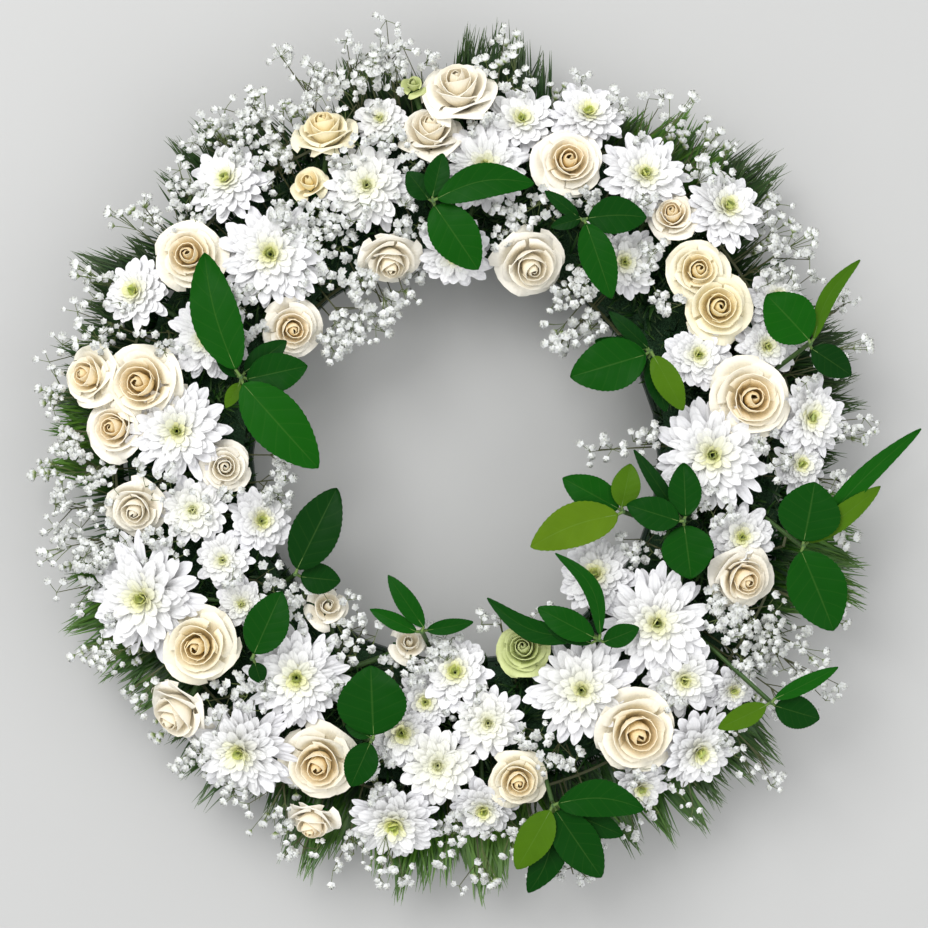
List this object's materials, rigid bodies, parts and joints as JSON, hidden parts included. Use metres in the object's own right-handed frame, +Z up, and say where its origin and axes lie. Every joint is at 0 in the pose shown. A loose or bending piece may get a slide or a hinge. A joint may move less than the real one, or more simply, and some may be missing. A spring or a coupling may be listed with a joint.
{
  "type": "funeral wreath",
  "caption": "Round funeral wreath of white and cream blooms, leaves, baby's breath and palm on a foam ring, laid flat.",
  "frame": {"origin": "centre of the wreath's bounding box, at the height of the tray's underside", "axes": "+Z up from the surface it lies on, +Y towards the top of the wreath, +X to its right seen from above"},
  "size_m": [0.6104, 0.6131, 0.122],
  "materials": {
    "tray_plastic": "satin",
    "floral_foam": "matte",
    "chrysanthemum_petal": "matte",
    "rose_petal": "satin",
    "rose_leaf": "satin",
    "palm_blade": "satin",
    "breath_floret": "matte"
  },
  "bodies": {
    "root": {"base_tray": "tray_plastic", "foam_ring": "floral_foam", "mum_spray_north_west": "chrysanthemum_petal", "mum_spray_west_high": "chrysanthemum_petal", "mum_spray_north_left": "chrysanthemum_petal", "mum_spray_north": "chrysanthemum_petal", "mum_spray_north_right": "chrysanthemum_petal", "mum_spray_north_east": "chrysanthemum_petal", "mum_spray_east_high": "chrysanthemum_petal", "mum_spray_east": "chrysanthemum_petal", "mum_spray_east_low": "chrysanthemum_petal", "mum_spray_south_east": "chrysanthemum_petal", "mum_spray_south_right": "chrysanthemum_petal", "mum_spray_south": "chrysanthemum_petal", "mum_spray_south_left": "chrysanthemum_petal", "mum_spray_south_low": "chrysanthemum_petal", "mum_spray_south_west": "chrysanthemum_petal", "mum_spray_west_low": "chrysanthemum_petal", "mum_spray_west": "chrysanthemum_petal", "rose_pair_north_west": "rose_petal", "rose_trio_north": "rose_petal", "rose_north": "rose_petal", "rose_inner_north": "rose_petal", "rose_inner_north_west": "rose_petal", "rose_trio_north_east": "rose_petal", "rose_east": "rose_petal", "rose_east_low": "rose_petal", "rose_south_east": "rose_petal", "rose_south": "rose_petal", "rose_pair_south_west": "rose_petal", "rose_pair_west_low": "rose_petal", "rose_pair_west_inner": "rose_petal", "rose_trio_west": "rose_petal", "rose_west_high": "rose_petal", "rose_inner_west": "rose_petal", "rose_bud_south": "rose_petal", "rose_pair_inner_south": "rose_petal", "leaf_spray_north": "rose_leaf", "leaf_spray_north_right": "rose_leaf", "leaf_spray_north_east": "rose_leaf", "leaf_spray_inner_east": "rose_leaf", "leaf_spray_east": "rose_leaf", "leaf_spray_inner_east_low": "rose_leaf", "leaf_spray_inner_south_east": "rose_leaf", "leaf_spray_inner_south": "rose_leaf", "leaf_spray_inner_west_low": "rose_leaf", "leaf_spray_west_low": "rose_leaf", "leaf_spray_west": "rose_leaf", "leaf_spray_south_west": "rose_leaf", "leaf_spray_south": "rose_leaf", "leaf_spray_east_outer": "rose_leaf", "leaf_spray_south_east": "rose_leaf", "palm_frond_east": "palm_blade", "palm_frond_north": "palm_blade", "palm_frond_south": "palm_blade", "breath_spray_north_east": "breath_floret", "breath_spray_north_west": "breath_floret", "breath_spray_south": "breath_floret", "breath_spray_inner_west": "breath_floret", "breath_spray_inner_east": "breath_floret"}
  },
  "joints": []
}
